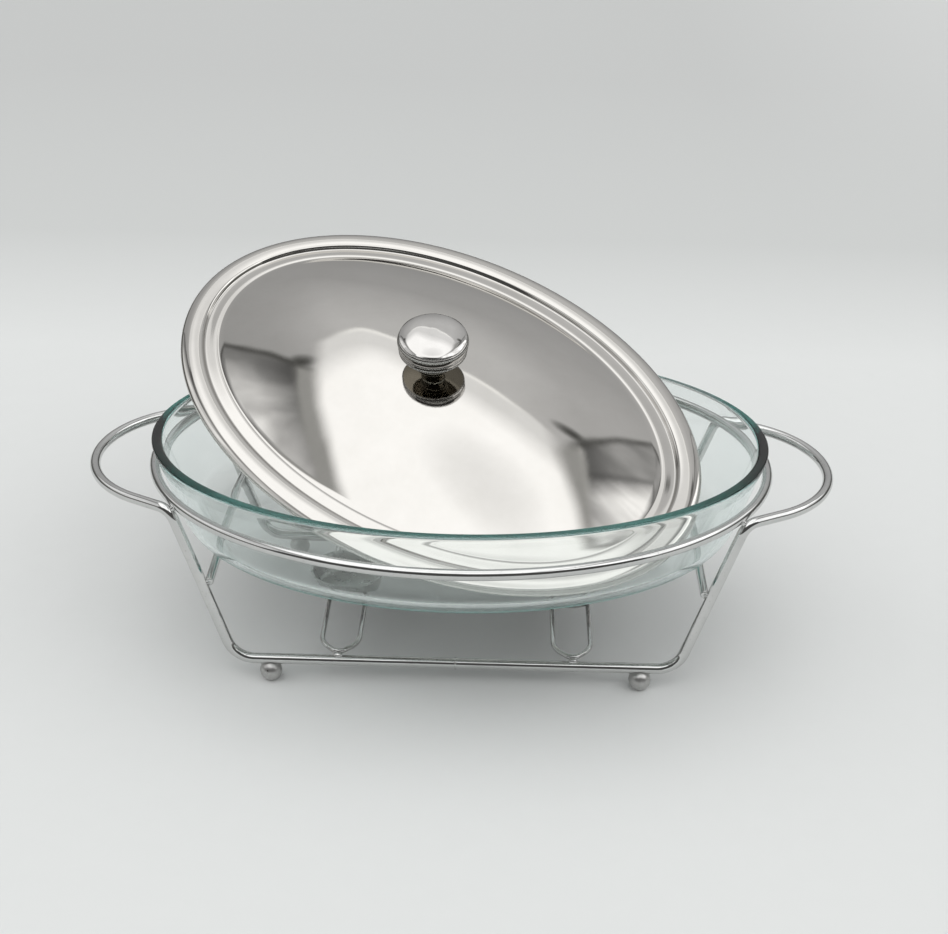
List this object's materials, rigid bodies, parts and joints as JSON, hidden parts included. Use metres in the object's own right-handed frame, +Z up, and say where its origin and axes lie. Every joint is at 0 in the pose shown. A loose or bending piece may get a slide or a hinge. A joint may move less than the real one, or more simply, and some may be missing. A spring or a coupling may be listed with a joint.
{
  "type": "oval food warmer",
  "caption": "Oval glass serving dish in a chromed wire rack with candle cups below, and a loose pressed steel lid with a round knob leaning in the dish.",
  "frame": {"origin": "on the table plane under the middle of the rack, midway between the four ball feet", "axes": "+X to the right along the dish's long axis, +Y to the back, +Z up"},
  "size_m": [0.425, 0.3143, 0.1786],
  "materials": {
    "rack_chrome": "polished",
    "foot_steel": "satin",
    "cup_steel": "satin",
    "dish_glass": "clear",
    "lid_steel": "polished",
    "knob_steel": "polished",
    "insert_brass": "turned",
    "fastener_steel": "satin"
  },
  "bodies": {
    "rack": {"hoop": "rack_chrome", "frame_wire_left": "rack_chrome", "frame_wire_right": "rack_chrome", "crossbar_left": "rack_chrome", "crossbar_right": "rack_chrome", "candle_loop_left": "rack_chrome", "candle_loop_right": "rack_chrome", "candle_cup_left": "cup_steel", "candle_cup_right": "cup_steel", "foot_front_left": "foot_steel", "foot_front_right": "foot_steel", "foot_back_left": "foot_steel", "foot_back_right": "foot_steel"},
    "dish": {"glass_dish": "dish_glass"},
    "lid": {"lid_shell": "lid_steel", "knob_neck": "knob_steel", "knob_drum": "knob_steel", "knob_cap": "knob_steel", "knob_insert": "insert_brass", "knob_washer": "fastener_steel", "knob_screw": "fastener_steel"}
  },
  "joints": [
    {"name": "dish_lift", "type": "slide", "parent": "rack", "child": "dish", "axis": [0, 0, 1], "range_m": [0, 0.12]},
    {"name": "lid_lift", "type": "slide", "parent": "dish", "child": "lid", "axis": [0, 0, 1], "range_m": [0, 0.12]}
  ]
}
